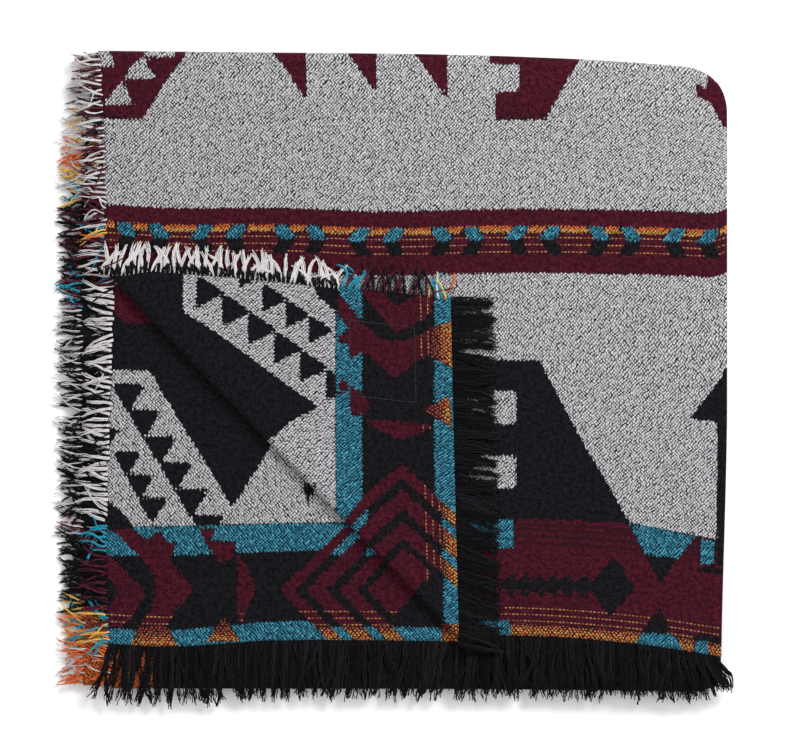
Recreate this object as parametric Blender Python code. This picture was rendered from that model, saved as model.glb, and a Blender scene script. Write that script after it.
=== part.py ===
"""A woven throw blanket with cut fringe on all four sides, folded away on a flat surface.

It is folded in half across its width, with that fold at +X, and then in thirds along its length.
The near left corner of its top layer is turned back over the face. Metres, +Z up: the underside
lies at Z = 0 and the origin is below the middle of the folded blanket.
"""

import bisect
import math
import random

import bmesh
import bpy

# Cloth: thickness of the sheet, and the air between sheets that lie on each other.
SHEET = 0.0022
AIR = 0.0008
HALF_WIDTH = 0.622

# Folded outline, seen from above, from the middle of the picture that it was measured in.
RIGHT = 0.330
TOP = 0.3245
BOTTOM = -0.3125
NEAR_END = -0.2625
FAR_END = 0.2315

# Height that the two folds across the length stand proud, and how far that reaches.
TOP_PUFF = 0.004
BOTTOM_PUFF = 0.003
PUFF_REACH = 0.055

# Stretch where the upper layers come down to the surface, past the far end and its fringe.
LIE_DOWN = 0.042

# Turned corner: where its fold line meets the near end and the side, from the corner itself.
CORNER_ALONG_END = 0.360
CORNER_ALONG_SIDE = 0.373
CORNER_ROLL = 0.0035
CORNER_REACH = 0.045
CORNER_PULL = (-0.077, -0.035)

# Fringe: backing strip, the parting between it and the cloth, and the locks.
PARTING = 0.0004
STRIP_WIDE = 0.0025
STRIP_SHORT = 0.0008
YARN_THICK = 0.0016
TIP_THICK = 0.0010

# How the locks come to rest: past the lower fold they sag, and at the side they reach the surface.
FRINGE_SAG = 0.007
FRINGE_SAG_FROM = BOTTOM + 0.006
FRINGE_SAG_REACH = 0.028
SIDE_REST_REACH = 0.014

# Unevenness of the outline: rounding of the corners of the fold at +X, and how far that fold is
# drawn in towards the bottom, over what distance.
TOP_ROUND = 0.046
BOTTOM_ROUND = 0.026
ROUND_POWER = 2.4
DRAWN_IN = 0.006
DRAWN_IN_REACH = 0.30

# Unevenness of the thickness, as a share of the height: size, turns along X, along Y, and shift.
WAVES = (
    (0.043, 9.0, 4.0, 0.6),
    (0.030, -5.0, 13.0, 2.0),
    (0.017, 21.0, 9.0, 0.0),
)

CORNER_SIZE = math.hypot(CORNER_ALONG_SIDE, CORNER_ALONG_END)
CORNER_TOWARDS = (-CORNER_ALONG_SIDE / CORNER_SIZE, -CORNER_ALONG_END / CORNER_SIZE)
CORNER_BAND = math.pi * CORNER_ROLL

PAIR = 2 * SHEET + AIR
STEP = PAIR + AIR
FOLD_RADIUS = (SHEET + AIR) / 2
FOLD_QUARTER = FOLD_RADIUS * math.pi / 2
RIGHT_MIDDLE = RIGHT - FOLD_RADIUS - SHEET / 2
WIDTH = 2 * HALF_WIDTH

TOP_RADIUS = (STEP + TOP_PUFF) / 2
BOTTOM_RADIUS = (STEP + BOTTOM_PUFF) / 2
TOP_BEND = TOP - TOP_RADIUS - PAIR / 2
BOTTOM_BEND = BOTTOM + BOTTOM_RADIUS + PAIR / 2

# Distances along the cloth, from the near end, where each pass and each bend begins.
FIRST_DONE = TOP_BEND - NEAR_END
SECOND_STARTS = FIRST_DONE + math.pi * TOP_RADIUS
SECOND_DONE = SECOND_STARTS + TOP_BEND - BOTTOM_BEND
THIRD_STARTS = SECOND_DONE + math.pi * BOTTOM_RADIUS
LENGTH = THIRD_STARTS + FAR_END - BOTTOM_BEND

# Side edges: distance along the cloth, X of the first side's edge, X of the second side's.
SIDE_EDGES = (
    (0.000, -0.287, -0.290),
    (0.100, -0.289, -0.292),
    (0.240, -0.292, -0.288),
    (0.380, -0.292, -0.285),
    (0.500, -0.294, -0.288),
    (0.585, -0.299, -0.292),
    (0.640, -0.308, -0.288),
    (0.720, -0.315, -0.284),
    (0.950, -0.317, -0.281),
    (1.225, -0.314, -0.285),
    (1.350, -0.317, -0.284),
    (1.770, -0.316, -0.285),
)

# Near end: X across, how far the first layer's end dips, how far the second layer's end dips.
END_DIPS = (
    (-0.330, 0.003, 0.003),
    (-0.227, 0.006, 0.008),
    (-0.120, 0.000, 0.001),
    (0.065, -0.003, 0.000),
    (0.115, -0.008, 0.000),
    (0.235, -0.006, 0.000),
    (0.330, 0.000, 0.000),
)
END_DIP_REACH = 0.15

# Slump of the pile towards the fold at +X: X across, how far it hangs nearer, and the share of
# it that the lower of the two long folds still has.
SLUMP_AT_BOTTOM = 0.2
SLUMP = (
    (-0.340, -0.002),
    (-0.150, 0.000),
    (0.040, 0.002),
    (0.165, 0.006),
    (0.250, 0.011),
    (0.330, 0.018),
)

# Rows of the flat sheet: where a stretch begins, where it ends, how many rows it is cut into.
ROWS = (
    (0.0, 0.03, 1),
    (0.03, FIRST_DONE - PUFF_REACH, 10),
    (FIRST_DONE - PUFF_REACH, FIRST_DONE, 4),
    (FIRST_DONE, SECOND_STARTS, 6),
    (SECOND_STARTS, SECOND_STARTS + PUFF_REACH, 4),
    (SECOND_STARTS + PUFF_REACH, SECOND_DONE - PUFF_REACH, 7),
    (SECOND_DONE - PUFF_REACH, SECOND_DONE, 3),
    (SECOND_DONE, THIRD_STARTS, 6),
    (THIRD_STARTS, THIRD_STARTS + PUFF_REACH, 1),
    (THIRD_STARTS + PUFF_REACH, LENGTH, 6),
)

# Columns of the flat sheet, in the same form, from the first side's edge.
COLUMNS = (
    (0.0, HALF_WIDTH - FOLD_QUARTER - 0.045, 11),
    (HALF_WIDTH - FOLD_QUARTER - 0.045, HALF_WIDTH - FOLD_QUARTER, 2),
    (HALF_WIDTH - FOLD_QUARTER, HALF_WIDTH + FOLD_QUARTER, 5),
    (HALF_WIDTH + FOLD_QUARTER, HALF_WIDTH + FOLD_QUARTER + 0.045, 2),
    (HALF_WIDTH + FOLD_QUARTER + 0.045, WIDTH, 11),
)

# Lines that cut the sheet along the turned corner's fold: distance from where the fold begins.
CORNER_STEPS = 8
CORNER_CUTS = [CORNER_BAND * i / CORNER_STEPS for i in range(CORNER_STEPS + 1)]
CORNER_CUTS += [CORNER_BAND + CORNER_REACH * share for share in (0.35, 0.7, 1.0)]

# Locks of the weft fringe and of the warp fringe: share of the length, share of the root's
# width, and sideways kink as a share of the length. The last row is the tip, a point.
WEFT_SECTIONS = ((0.5, 0.72, 0.05), (1.0, 0.0, 0.0))
WARP_SECTIONS = ((0.35, 0.85, 0.05), (0.7, 0.6, -0.04), (1.0, 0.0, 0.03))
FAR_SECTIONS = ((1.0, 0.0, 0.0),)


def smooth(share):
    """Rises from 0 to 1 with level ends."""
    share = min(max(share, 0.0), 1.0)
    return share * share * (3.0 - 2.0 * share)


def eased(rows, column, place):
    """The value of a table's column at a place in its first column, on a smooth curve."""
    last = len(rows) - 1
    place = min(max(place, rows[0][0]), rows[last][0])
    i = min(sum(place > row[0] for row in rows[1:]), last - 1)

    def slope(k):
        before = rows[max(k - 1, 0)]
        after = rows[min(k + 1, last)]
        return (after[column] - before[column]) / (after[0] - before[0])

    step = rows[i + 1][0] - rows[i][0]
    t = (place - rows[i][0]) / step
    start = rows[i][column] * (2 * t**3 - 3 * t**2 + 1) + slope(i) * step * (t**3 - 2 * t**2 + t)
    end = rows[i + 1][column] * (3 * t**2 - 2 * t**3) + slope(i + 1) * step * (t**3 - t**2)
    return start + end


def second_height(y):
    """Height of the middle of the second pass, which lies on the third where that is."""
    over_third = smooth((TOP_BEND - y) / LIE_DOWN)
    puff = BOTTOM_PUFF * (1.0 - smooth((y - BOTTOM_BEND) / PUFF_REACH))
    return PAIR / 2 + STEP * over_third + puff


def first_height(y):
    """Height of the middle of the first pass, which lies on the second."""
    puff = TOP_PUFF * (1.0 - smooth((TOP_BEND - y) / PUFF_REACH))
    return second_height(y) + STEP + puff


def level_normal(height, y, side):
    """The direction square to a pass, up for side 1 and down for side -1."""
    nudge = 0.001
    slope = (height(y + nudge) - height(y - nudge)) / (2 * nudge)
    size = math.hypot(1.0, slope)
    return -side * slope / size, side / size


def pass_point(along):
    """Y and Z of the middle of the doubled cloth, and its normal, at a distance along it."""
    if along <= FIRST_DONE:
        y = NEAR_END + along
        return (y, first_height(y)) + level_normal(first_height, y, 1)
    if along < SECOND_STARTS:
        turn = (along - FIRST_DONE) / TOP_RADIUS
        middle = second_height(TOP_BEND) + TOP_RADIUS
        normal = (math.sin(turn), math.cos(turn))
        return (TOP_BEND + TOP_RADIUS * normal[0], middle + TOP_RADIUS * normal[1]) + normal
    if along <= SECOND_DONE:
        y = TOP_BEND - (along - SECOND_STARTS)
        return (y, second_height(y)) + level_normal(second_height, y, -1)
    if along < THIRD_STARTS:
        turn = (along - SECOND_DONE) / BOTTOM_RADIUS
        normal = (math.sin(turn), -math.cos(turn))
        middle = PAIR / 2 + BOTTOM_RADIUS
        return (BOTTOM_BEND - BOTTOM_RADIUS * normal[0], middle - BOTTOM_RADIUS * normal[1]) + normal
    return (BOTTOM_BEND + along - THIRD_STARTS, PAIR / 2, 0.0, 1.0)


def turned_corner(across, along, off, turned):
    """Place in the first layer's own plane, and height over it, with the corner folded back.

    turned is None where the cloth itself decides, and True or False for a lock, which keeps to
    the side of the fold that its root is on.
    """
    towards = CORNER_TOWARDS
    past = (across - CORNER_ALONG_END) * towards[0] + along * towards[1]
    if turned is False or (turned is None and past <= 0.0):
        return across, along, off
    foot = (across - past * towards[0], along - past * towards[1])
    if turned is None and past < CORNER_BAND:
        turn = past / CORNER_ROLL
        out = (CORNER_ROLL - off) * math.sin(turn)
        height = CORNER_ROLL - (CORNER_ROLL - off) * math.cos(turn)
        return foot[0] + out * towards[0], foot[1] + out * towards[1], height
    back = past - CORNER_BAND
    settle = (2 * CORNER_ROLL - SHEET - AIR) * smooth(back / CORNER_REACH)
    return (
        foot[0] - back * towards[0] + back * CORNER_PULL[0],
        foot[1] - back * towards[1] + back * CORNER_PULL[1],
        2 * CORNER_ROLL - off - settle,
    )


def beside_fold(across, along, off, layer):
    """X, and distance off the middle of the pair, after the fold in half across the width.

    layer is None for the cloth, and 1 or 2 for a lock, which keeps to its root's layer.
    """
    from_fold = HALF_WIDTH - across
    if layer is None and abs(from_fold) < FOLD_QUARTER:
        turn = (FOLD_QUARTER - from_fold) / FOLD_RADIUS
        reach = FOLD_RADIUS + off
        return RIGHT_MIDDLE + reach * math.sin(turn), reach * math.cos(turn)
    first = from_fold > 0.0 if layer is None else layer == 1
    edge = eased(SIDE_EDGES, 1 if first else 2, along)
    spread = (RIGHT_MIDDLE - edge) / (HALF_WIDTH - FOLD_QUARTER)
    flat = (from_fold if first else -from_fold) - FOLD_QUARTER
    x = RIGHT_MIDDLE - flat * spread
    return x, (FOLD_RADIUS + off) * (1 if first else -1)


def folded(across, along, off, turned=None, layer=None):
    """Place in the neat pile of a point of the flat cloth."""
    first = across < HALF_WIDTH if layer is None else layer == 1
    if first:
        across, along, off = turned_corner(across, along, off, turned)
    x, normal_off = beside_fold(across, along, off, layer)
    near = 1.0 - smooth(along / END_DIP_REACH)
    along -= near * eased(END_DIPS, 1 if first else 2, x)
    y, z, normal_y, normal_z = pass_point(along)
    return x, y + normal_off * normal_y, z + normal_off * normal_z


def rounded(x, y, corner_x, corner_y, radius, up):
    """Draws a square corner of the pile in to a round one, up being 1 or -1 along Y."""
    share_x = (x - corner_x + radius) / radius
    share_y = (y - corner_y) * up / radius + 1.0
    if share_x <= 0.0 or share_y <= 0.0:
        return x, y
    size = (share_x**ROUND_POWER + share_y**ROUND_POWER) ** (1 / ROUND_POWER)
    ratio = max(share_x, share_y) / size
    return (
        corner_x - radius + share_x * ratio * radius,
        corner_y - up * radius + share_y * ratio * radius * up,
    )


def uneven(point):
    """The pile as it really lies: corners rounded, edges slumped, thickness a little wavy."""
    x, y, z = point
    x, y = rounded(x, y, RIGHT, TOP, TOP_ROUND, 1)
    x, y = rounded(x, y, RIGHT, BOTTOM, BOTTOM_ROUND, -1)
    x -= DRAWN_IN * smooth(-y / DRAWN_IN_REACH) * max(x / RIGHT, 0.0)
    hangs = SLUMP_AT_BOTTOM + (1.0 - SLUMP_AT_BOTTOM) * smooth((y - BOTTOM) / (NEAR_END - BOTTOM))
    y -= eased(SLUMP, 1, x) * hangs
    wave = sum(size * math.sin(a * x + b * y + shift) for size, a, b, shift in WAVES)
    return x, y, z * (1.0 + wave)


def cut_lines(stretches):
    """Every place where a table of stretches cuts the sheet."""
    lines = []
    for start, end, count in stretches:
        lines += [start + (end - start) * i / count for i in range(count)]
    return lines + [stretches[-1][1]]


def flat_sheet():
    """The cloth laid out flat, one layer of faces, also cut along the turned corner's fold."""
    flat = bmesh.new()
    across = cut_lines(COLUMNS)
    along = cut_lines(ROWS)
    grid = [[flat.verts.new((u, v, 0.0)) for u in across] for v in along]
    for low, high in zip(grid, grid[1:]):
        for i in range(len(across) - 1):
            flat.faces.new((low[i], low[i + 1], high[i + 1], high[i]))
    towards = (*CORNER_TOWARDS, 0.0)
    for past in CORNER_CUTS:
        bmesh.ops.bisect_plane(
            flat,
            geom=flat.verts[:] + flat.edges[:] + flat.faces[:],
            dist=0.00002,
            plane_co=(CORNER_ALONG_END + past * towards[0], past * towards[1], 0.0),
            plane_no=towards,
        )
    return flat


def thickened(flat):
    """Points and faces of the folded cloth, closed all round its cut edge."""
    flat.verts.index_update()
    count = len(flat.verts)
    points = []
    for off in (SHEET / 2, -SHEET / 2):
        points += [uneven(folded(v.co.x, v.co.y, off)) for v in flat.verts]
    faces = [[v.index for v in face.verts] for face in flat.faces]
    faces += [[i + count for i in reversed(face)] for face in faces]
    for edge in flat.edges:
        if edge.is_boundary:
            loop = edge.link_loops[0]
            a = loop.vert.index
            b = loop.link_loop_next.vert.index
            faces.append([b, a, a + count, b + count])
    return points, faces


class Edge:
    """One cut edge of the cloth: how to reach a point beyond it, and where it bends.

    lines are the places where the sheet's own cuts meet the edge, each with how far it shifts
    along the edge for each metre out, as the slanted cuts of the corner do.
    """

    def __init__(self, kind, lines, bends):
        self.kind = kind
        self.lines = sorted(lines)
        self.places = [line for line, _ in self.lines]
        self.length = self.places[-1]
        self.bends = bends

    def flat_place(self, place, out):
        if self.kind == "first side":
            return -out, place
        if self.kind == "second side":
            return WIDTH + out, place
        if self.kind == "near end":
            return place, -out
        return place, LENGTH + out

    def strip_point(self, place, out, off):
        """A point of the backing strip, which is straight between lines, as the cloth's edge is."""
        i = min(bisect.bisect_right(self.places, place), len(self.places) - 1)
        ends = []
        for line, slant in self.lines[i - 1 : i + 1]:
            across, along = self.flat_place(line + slant * out, out)
            ends.append(uneven(self.laid(folded(across, along, off), across, along, out, off)))
        share = (place - self.places[i - 1]) / (self.places[i] - self.places[i - 1])
        return tuple(a + (b - a) * share for a, b in zip(*ends))

    def lock_point(self, root, aside, out, off):
        """A point of a lock whose root is at one place on the edge."""
        across, along = self.flat_place(root + aside, out)
        root_across, root_along = self.flat_place(root, 0.0)
        layer = 1 if root_across < HALF_WIDTH else 2
        turned = (
            root_across / CORNER_ALONG_END + root_along / CORNER_ALONG_SIDE < 1.0
            if layer == 1
            else None
        )
        point = folded(across, along, off, turned, layer)
        return uneven(self.laid(point, across, along, out, off))

    def laid(self, point, across, along, out, off):
        """The same point, sunk to what it lies on once it is past the layers below it."""
        x, y, z = point
        if self.kind == "near end":
            return x, y, z - FRINGE_SAG * smooth((FRINGE_SAG_FROM - y) / FRINGE_SAG_REACH)
        in_lower_bend = SECOND_DONE < along < THIRD_STARTS
        if self.kind != "first side" or along < SECOND_STARTS or in_lower_bend:
            return point
        rest = YARN_THICK / 2
        middle = z - off
        if along < SECOND_DONE:
            rest += (YARN_THICK + AIR / 2) * smooth((TOP_BEND - y) / LIE_DOWN)
            middle = z + off
        drop = max(middle - rest, 0.0) * smooth((out - STRIP_WIDE) / SIDE_REST_REACH)
        return x, y, z - drop


def comb(edge, pitch, share, length, sections, seed):
    """Points and faces of one fringe: a strip along the edge with its tapered locks."""
    chance = random.Random(seed)
    count = round(edge.length / pitch)
    pitch = edge.length / count
    stops = []
    for i in range(count):
        middle = (i + 0.5) * pitch
        half = pitch * share * chance.uniform(0.42, 0.52)
        near_bend = any(s - half - 0.001 < middle < e + half + 0.001 for s, e in edge.bends)
        if not near_bend:
            stops += [(middle - half, True), (middle + half, False)]
    for start, end in edge.bends:
        stops += [(line, False) for line in edge.places if start - 0.0001 < line < end + 0.0001]
    stops += [(STRIP_SHORT, False), (edge.length - STRIP_SHORT, False)]
    stops.sort()
    points = []
    faces = []
    inner = PARTING
    outer = PARTING + STRIP_WIDE
    half_thick = YARN_THICK / 2
    for place, _ in stops:
        for out in (inner, outer):
            points.append(edge.strip_point(place, out, half_thick))
            points.append(edge.strip_point(place, out, -half_thick))
    last = 4 * (len(stops) - 1)
    faces += [[0, 1, 3, 2], [last, last + 2, last + 3, last + 1]]
    for i, (place, roots) in enumerate(stops[:-1]):
        a = 4 * i
        b = a + 4
        faces += [[a, a + 2, b + 2, b], [a + 1, b + 1, b + 3, a + 3], [a, b, b + 1, a + 1]]
        if not roots:
            faces.append([a + 2, a + 3, b + 3, b + 2])
            continue
        root = (place + stops[i + 1][0]) / 2
        half_wide = stops[i + 1][0] - root
        reach = length * chance.uniform(0.82, 1.12)
        lean = length * chance.uniform(-0.16, 0.16)
        swing = chance.choice((-1, 1))
        ring = [a + 2, a + 3, b + 3, b + 2]
        for along, width, kink in sections:
            out = outer + reach * along
            aside = lean * along + swing * kink * length
            thick = half_thick + (TIP_THICK / 2 - half_thick) * along
            if width == 0.0:
                points.append(edge.lock_point(root, aside, out, 0.0))
                faces += [[ring[k], ring[(k + 1) % 4], len(points) - 1] for k in range(4)]
                break
            first = len(points)
            for shift, off in ((-1, thick), (-1, -thick), (1, -thick), (1, thick)):
                points.append(edge.lock_point(root, aside + shift * half_wide * width, out, off))
            fresh = [first, first + 1, first + 2, first + 3]
            faces += [[ring[k], ring[(k + 1) % 4], fresh[(k + 1) % 4], fresh[k]] for k in range(4)]
            ring = fresh
    return points, faces


def material(name, colour, roughness):
    made = bpy.data.materials.new(name)
    made.use_nodes = True
    shader = made.node_tree.nodes["Principled BSDF"]
    shader.inputs["Base Color"].default_value = (*colour, 1.0)
    shader.inputs["Roughness"].default_value = roughness
    shader.inputs["Metallic"].default_value = 0.0
    return made


def add(name, points, faces, made):
    mesh = bpy.data.meshes.new(name)
    mesh.from_pydata(points, [], faces)
    shape = bmesh.new()
    shape.from_mesh(mesh)
    bmesh.ops.recalc_face_normals(shape, faces=shape.faces[:])
    shape.to_mesh(mesh)
    shape.free()
    mesh.shade_smooth()
    mesh.materials.append(made)
    piece = bpy.data.objects.new(name, mesh)
    bpy.context.scene.collection.objects.link(piece)


for old in list(bpy.data.objects):
    bpy.data.objects.remove(old)

# Where the corner's fold crosses the near end and the first side, and where the long folds are.
end_cuts = [CORNER_ALONG_END - past * CORNER_SIZE / CORNER_ALONG_SIDE for past in CORNER_CUTS]
side_cuts = [CORNER_ALONG_SIDE - past * CORNER_SIZE / CORNER_ALONG_END for past in CORNER_CUTS]
end_slant = CORNER_ALONG_END / CORNER_ALONG_SIDE
end_corner = (end_cuts[CORNER_STEPS], end_cuts[0])
side_corner = (side_cuts[CORNER_STEPS], side_cuts[0])
width_bend = (HALF_WIDTH - FOLD_QUARTER, HALF_WIDTH + FOLD_QUARTER)
length_bends = [(FIRST_DONE, SECOND_STARTS), (SECOND_DONE, THIRD_STARTS)]

end_lines = [(line, 0.0) for line in cut_lines(COLUMNS)]
side_lines = [(line, 0.0) for line in cut_lines(ROWS)]
slanted_end = [(line, end_slant) for line in end_cuts]
slanted_side = [(line, 1.0 / end_slant) for line in side_cuts]
near_end = Edge("near end", end_lines + slanted_end, [end_corner, width_bend])
far_end = Edge("far end", end_lines, [width_bend])
first_side = Edge("first side", side_lines + slanted_side, [side_corner] + length_bends)
second_side = Edge("second side", side_lines, length_bends)

# Fringes: name, edge, pitch of the locks, share of it that a lock's root takes, length of the
# locks, their sections, and the colour of the yarn.
BLACK = (0.010, 0.010, 0.012)
PALE = (0.45, 0.35, 0.37)
MIXED = (0.20, 0.10, 0.12)
FRINGES = (
    ("warp_fringe_near", near_end, 0.0142, 0.76, 0.057, WARP_SECTIONS, BLACK),
    ("warp_fringe_far", far_end, 0.0500, 0.80, 0.044, FAR_SECTIONS, BLACK),
    ("weft_fringe_first", first_side, 0.0172, 0.66, 0.025, WEFT_SECTIONS, PALE),
    ("weft_fringe_second", second_side, 0.0200, 0.66, 0.025, WEFT_SECTIONS, MIXED),
)
CLOTH_COLOUR = (0.16, 0.06, 0.08)
pieces = [("throw_cloth", thickened(flat_sheet()), CLOTH_COLOUR)]
for seed, (name, edge, pitch, share, length, sections, colour) in enumerate(FRINGES):
    pieces.append((name, comb(edge, pitch, share, length, sections, seed), colour))

# The pile is moved so that the origin lies below the middle of all of it.
every = [point for _, (points, _), _ in pieces for point in points]
middle_x = (min(p[0] for p in every) + max(p[0] for p in every)) / 2
middle_y = (min(p[1] for p in every) + max(p[1] for p in every)) / 2
for name, (points, faces), colour in pieces:
    centred = [(x - middle_x, y - middle_y, z) for x, y, z in points]
    add(name, centred, faces, material(name + "_wool", colour, 0.9))
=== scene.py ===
"""A woven throw blanket with cut fringe, folded away, the near corner of its top layer turned back."""

import math
import random

import bmesh
import bpy
import numpy as np
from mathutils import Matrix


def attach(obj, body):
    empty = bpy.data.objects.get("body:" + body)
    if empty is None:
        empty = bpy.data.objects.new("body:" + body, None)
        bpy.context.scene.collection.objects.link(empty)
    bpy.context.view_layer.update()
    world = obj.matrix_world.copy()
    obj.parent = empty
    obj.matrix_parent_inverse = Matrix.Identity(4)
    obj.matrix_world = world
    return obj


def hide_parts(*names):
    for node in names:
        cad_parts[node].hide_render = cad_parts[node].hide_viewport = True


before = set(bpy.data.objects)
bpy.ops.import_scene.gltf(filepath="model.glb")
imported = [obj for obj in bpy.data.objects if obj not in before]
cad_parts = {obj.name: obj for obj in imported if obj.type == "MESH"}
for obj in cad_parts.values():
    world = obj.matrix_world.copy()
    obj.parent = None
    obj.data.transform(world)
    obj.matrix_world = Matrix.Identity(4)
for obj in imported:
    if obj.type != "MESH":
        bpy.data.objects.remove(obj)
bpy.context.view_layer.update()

# Camera. It hangs square above the blanket, far enough away that the sides of the pile hardly
# show, and frames a picture of 794 by 753 at one millimetre to a pixel.
PICTURE_MIDDLE = (0.0095263, 0.0046572)
PICTURE_WIDE = 0.794
LENS = 200.0
FILM = 36.0
bpy.ops.object.camera_add(
    location=(*PICTURE_MIDDLE, 0.012 + PICTURE_WIDE * LENS / FILM), rotation=(0.0, 0.0, 0.0)
)
camera = bpy.context.object
camera.data.lens = LENS
camera.data.sensor_width = FILM
camera.data.clip_end = 50.0
bpy.context.scene.camera = camera

# The throw. One length of double-faced wool, woven with a light and a dark warp, and not hemmed.
# It is folded in half across its width and in thirds along its length, with one corner turned
# back over the face. Distances are those of the flat cloth and of the pile that it makes.
SHEET = 0.0022
AIR = 0.0008
HALF_WIDTH = 0.622
RIGHT = 0.330
TOP = 0.3245
BOTTOM = -0.3125
NEAR_END = -0.2625
FAR_END = 0.2315
TOP_PUFF = 0.004
BOTTOM_PUFF = 0.003
PUFF_REACH = 0.055
LIE_DOWN = 0.042
CORNER_ALONG_END = 0.360
CORNER_ALONG_SIDE = 0.373
CORNER_ROLL = 0.0035
CORNER_REACH = 0.045
CORNER_PULL = (-0.077, -0.035)
CORNER_LIFT = 0.007
TOP_ROUND = 0.046
BOTTOM_ROUND = 0.026
ROUND_POWER = 2.4
DRAWN_IN = 0.006
DRAWN_IN_REACH = 0.30
WAVES = ((0.043, 9.0, 4.0, 0.6), (0.030, -5.0, 13.0, 2.0), (0.017, 21.0, 9.0, 0.0))

CORNER_SIZE = math.hypot(CORNER_ALONG_SIDE, CORNER_ALONG_END)
CORNER_TOWARDS = (-CORNER_ALONG_SIDE / CORNER_SIZE, -CORNER_ALONG_END / CORNER_SIZE)
CORNER_BAND = math.pi * CORNER_ROLL
PAIR = 2 * SHEET + AIR
STEP = PAIR + AIR
FOLD_RADIUS = (SHEET + AIR) / 2
FOLD_QUARTER = FOLD_RADIUS * math.pi / 2
RIGHT_MIDDLE = RIGHT - FOLD_RADIUS - SHEET / 2
WIDTH = 2 * HALF_WIDTH
TOP_RADIUS = (STEP + TOP_PUFF) / 2
BOTTOM_RADIUS = (STEP + BOTTOM_PUFF) / 2
TOP_BEND = TOP - TOP_RADIUS - PAIR / 2
BOTTOM_BEND = BOTTOM + BOTTOM_RADIUS + PAIR / 2
FIRST_DONE = TOP_BEND - NEAR_END
SECOND_STARTS = FIRST_DONE + math.pi * TOP_RADIUS
SECOND_DONE = SECOND_STARTS + TOP_BEND - BOTTOM_BEND
THIRD_STARTS = SECOND_DONE + math.pi * BOTTOM_RADIUS
LENGTH = THIRD_STARTS + FAR_END - BOTTOM_BEND

# Side edges: distance along the cloth, X of the first side's edge, X of the second side's.
SIDE_EDGES = (
    (0.000, -0.287, -0.290), (0.100, -0.289, -0.292), (0.240, -0.292, -0.288),
    (0.380, -0.292, -0.285), (0.500, -0.294, -0.288), (0.585, -0.299, -0.292),
    (0.640, -0.308, -0.288), (0.720, -0.315, -0.284), (0.950, -0.317, -0.281),
    (1.225, -0.314, -0.285), (1.350, -0.317, -0.284), (1.770, -0.316, -0.285),
)

# Near end: X across, how far the first layer's end dips, how far the second layer's end dips.
END_DIPS = (
    (-0.330, 0.003, 0.003), (-0.227, 0.006, 0.008), (-0.120, 0.000, 0.001),
    (0.065, -0.003, 0.000), (0.115, -0.008, 0.000), (0.235, -0.006, 0.000),
    (0.330, 0.000, 0.000),
)
END_DIP_REACH = 0.15

# Slump towards the fold at +X: X across, and how far the pile hangs nearer.
SLUMP_AT_BOTTOM = 0.2
SLUMP = (
    (-0.340, -0.002), (-0.150, 0.000), (0.040, 0.002),
    (0.165, 0.006), (0.250, 0.011), (0.330, 0.018),
)


def smooth(share):
    share = min(max(share, 0.0), 1.0)
    return share * share * (3.0 - 2.0 * share)


def eased(rows, column, place):
    """The value of a table's column at a place in its first column, on a smooth curve."""
    last = len(rows) - 1
    place = min(max(place, rows[0][0]), rows[last][0])
    i = min(sum(place > row[0] for row in rows[1:]), last - 1)

    def slope(k):
        before = rows[max(k - 1, 0)]
        after = rows[min(k + 1, last)]
        return (after[column] - before[column]) / (after[0] - before[0])

    step = rows[i + 1][0] - rows[i][0]
    t = (place - rows[i][0]) / step
    start = rows[i][column] * (2 * t**3 - 3 * t**2 + 1) + slope(i) * step * (t**3 - 2 * t**2 + t)
    end = rows[i + 1][column] * (3 * t**2 - 2 * t**3) + slope(i + 1) * step * (t**3 - t**2)
    return start + end


def second_height(y):
    over_third = smooth((TOP_BEND - y) / LIE_DOWN)
    puff = BOTTOM_PUFF * (1.0 - smooth((y - BOTTOM_BEND) / PUFF_REACH))
    return PAIR / 2 + STEP * over_third + puff


def first_height(y):
    puff = TOP_PUFF * (1.0 - smooth((TOP_BEND - y) / PUFF_REACH))
    return second_height(y) + STEP + puff


def level_normal(height, y, side):
    nudge = 0.001
    slope = (height(y + nudge) - height(y - nudge)) / (2 * nudge)
    size = math.hypot(1.0, slope)
    return -side * slope / size, side / size


def pass_point(along):
    """Y and Z of the middle of the doubled cloth, and its normal, at a distance along it."""
    if along <= FIRST_DONE:
        y = NEAR_END + along
        return (y, first_height(y)) + level_normal(first_height, y, 1)
    if along < SECOND_STARTS:
        turn = (along - FIRST_DONE) / TOP_RADIUS
        middle = second_height(TOP_BEND) + TOP_RADIUS
        normal = (math.sin(turn), math.cos(turn))
        return (TOP_BEND + TOP_RADIUS * normal[0], middle + TOP_RADIUS * normal[1]) + normal
    if along <= SECOND_DONE:
        y = TOP_BEND - (along - SECOND_STARTS)
        return (y, second_height(y)) + level_normal(second_height, y, -1)
    if along < THIRD_STARTS:
        turn = (along - SECOND_DONE) / BOTTOM_RADIUS
        normal = (math.sin(turn), -math.cos(turn))
        middle = PAIR / 2 + BOTTOM_RADIUS
        return (BOTTOM_BEND - BOTTOM_RADIUS * normal[0], middle - BOTTOM_RADIUS * normal[1]) + normal
    return (BOTTOM_BEND + along - THIRD_STARTS, PAIR / 2, 0.0, 1.0)


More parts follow.
